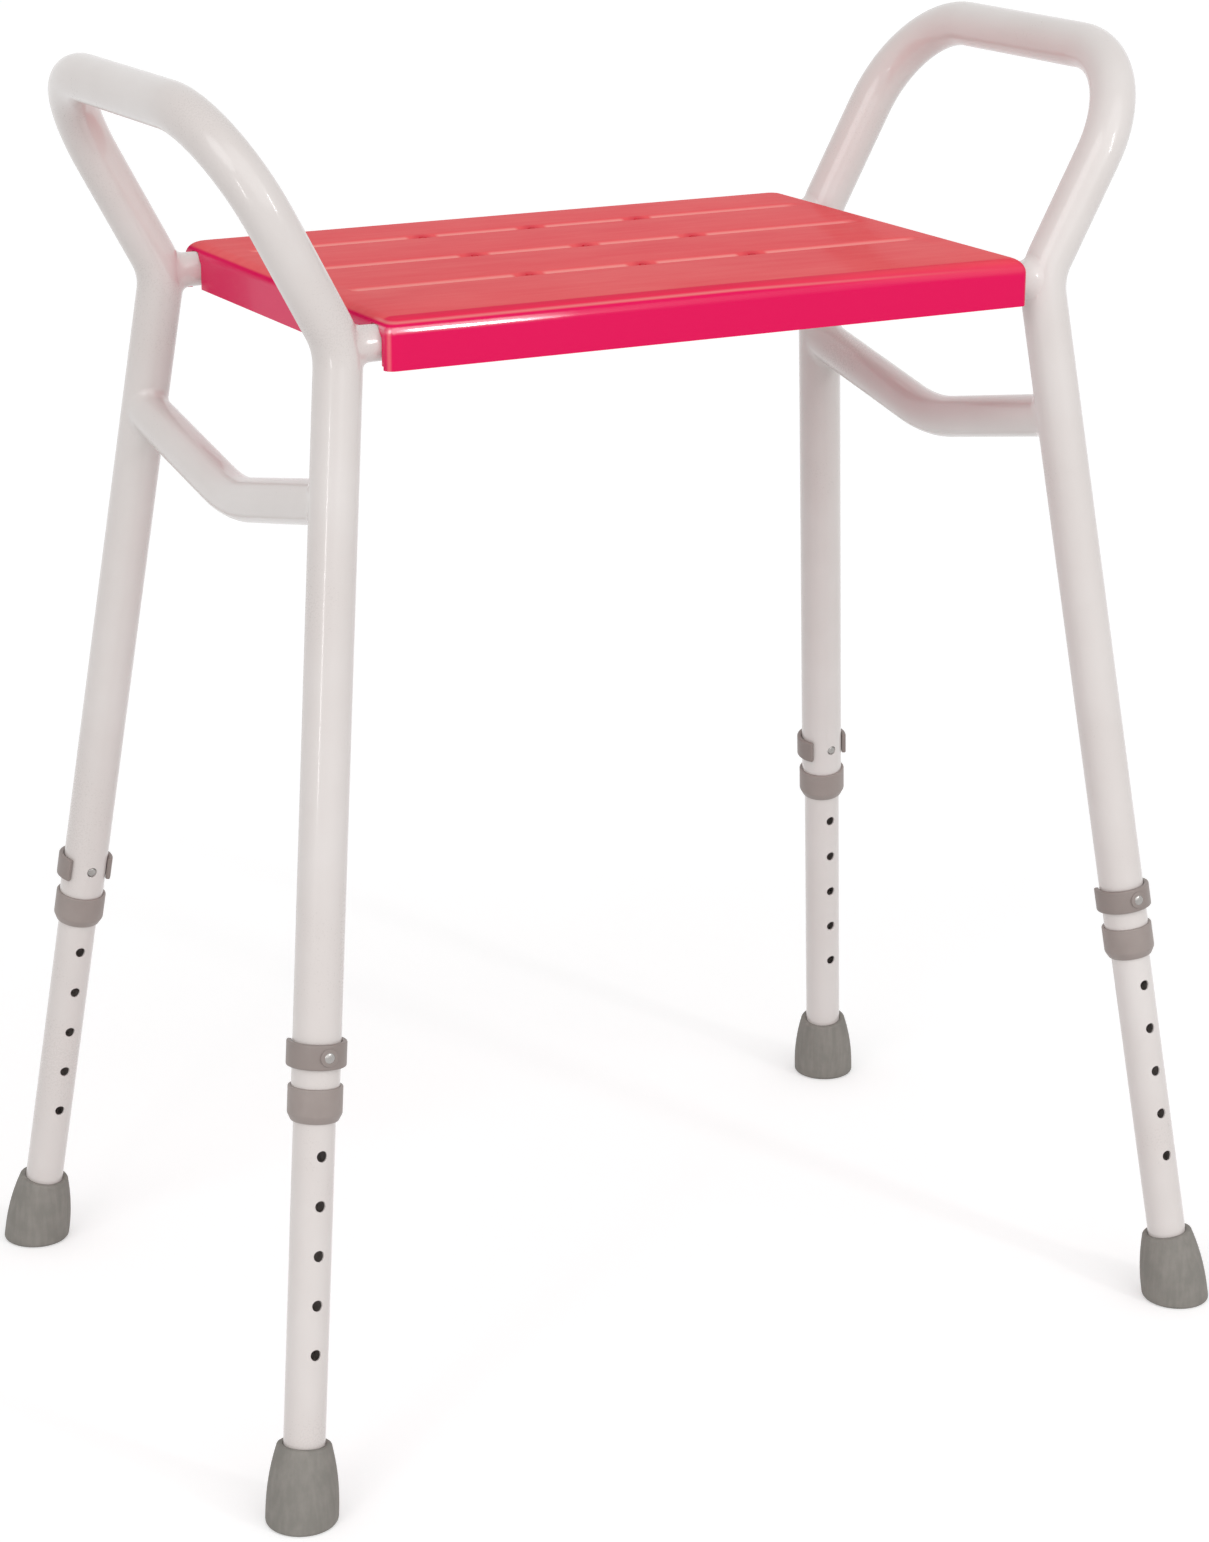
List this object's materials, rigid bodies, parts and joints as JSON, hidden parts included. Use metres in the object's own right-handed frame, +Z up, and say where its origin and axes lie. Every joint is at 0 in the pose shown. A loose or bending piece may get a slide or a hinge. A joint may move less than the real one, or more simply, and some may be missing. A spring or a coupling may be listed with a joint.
{
  "type": "shower stool",
  "caption": "Free-standing shower stool: moulded seat on a bent-tube frame with arm loops, splayed legs with clip-locked height settings and rubber feet.",
  "frame": {"origin": "on the floor, at the middle of the four feet", "axes": "+Z up, -Y towards the front of the seat, +X to the right seen from the front"},
  "size_m": [0.6048, 0.435, 0.7312],
  "materials": {
    "powder_coat": "gloss off-white powder coat on steel tube",
    "seat_plastic": "glossy crimson moulded plastic",
    "grey_plastic": "satin warm grey moulded plastic",
    "grey_rubber": "matt grey rubber",
    "bright_steel": "bright zinc-plated steel"
  },
  "bodies": {
    "frame": {"left_side_frame": "powder_coat", "right_side_frame": "powder_coat", "front_cross_rail": "powder_coat", "rear_cross_rail": "powder_coat", "left_side_brace": "powder_coat", "right_side_brace": "powder_coat", "front_seat_tabs": "powder_coat", "rear_seat_tabs": "powder_coat", "seat_screws": "bright_steel", "seat": "seat_plastic", "front_left_collar": "grey_plastic", "front_right_collar": "grey_plastic", "rear_left_collar": "grey_plastic", "rear_right_collar": "grey_plastic"},
    "front_left_leg": {"front_left_leg_tube": "powder_coat", "front_left_rubber_foot": "grey_rubber", "front_left_foot_washer": "bright_steel"},
    "front_left_clip": {"front_left_clip_band": "grey_plastic", "front_left_clip_pin": "bright_steel"},
    "front_right_leg": {"front_right_leg_tube": "powder_coat", "front_right_rubber_foot": "grey_rubber", "front_right_foot_washer": "bright_steel"},
    "front_right_clip": {"front_right_clip_band": "grey_plastic", "front_right_clip_pin": "bright_steel"},
    "rear_left_leg": {"rear_left_leg_tube": "powder_coat", "rear_left_rubber_foot": "grey_rubber", "rear_left_foot_washer": "bright_steel"},
    "rear_left_clip": {"rear_left_clip_band": "grey_plastic", "rear_left_clip_pin": "bright_steel"},
    "rear_right_leg": {"rear_right_leg_tube": "powder_coat", "rear_right_rubber_foot": "grey_rubber", "rear_right_foot_washer": "bright_steel"},
    "rear_right_clip": {"rear_right_clip_band": "grey_plastic", "rear_right_clip_pin": "bright_steel"}
  },
  "joints": [
    {"name": "front_left_leg_slide", "type": "slide", "parent": "frame", "child": "front_left_leg", "axis": [0.1139, 0.1331, 0.9845], "range_m": [0, 0.1584]},
    {"name": "front_left_clip_pull", "type": "slide", "parent": "frame", "child": "front_left_clip", "axis": [0.0153, -0.9911, 0.1322], "range_m": [0, 0.032], "deforming": ["front_left_clip_band"]},
    {"name": "front_right_leg_slide", "type": "slide", "parent": "frame", "child": "front_right_leg", "axis": [-0.1139, 0.1331, 0.9845], "range_m": [0, 0.1584]},
    {"name": "front_right_clip_pull", "type": "slide", "parent": "frame", "child": "front_right_clip", "axis": [-0.0153, -0.9911, 0.1322], "range_m": [0, 0.032], "deforming": ["front_right_clip_band"]},
    {"name": "rear_left_leg_slide", "type": "slide", "parent": "frame", "child": "rear_left_leg", "axis": [0.1139, -0.1331, 0.9845], "range_m": [0, 0.1584]},
    {"name": "rear_left_clip_pull", "type": "slide", "parent": "frame", "child": "rear_left_clip", "axis": [0.0153, 0.9911, 0.1322], "range_m": [0, 0.032], "deforming": ["rear_left_clip_band"]},
    {"name": "rear_right_leg_slide", "type": "slide", "parent": "frame", "child": "rear_right_leg", "axis": [-0.1139, -0.1331, 0.9845], "range_m": [0, 0.1584]},
    {"name": "rear_right_clip_pull", "type": "slide", "parent": "frame", "child": "rear_right_clip", "axis": [-0.0153, 0.9911, 0.1322], "range_m": [0, 0.032], "deforming": ["rear_right_clip_band"]}
  ]
}
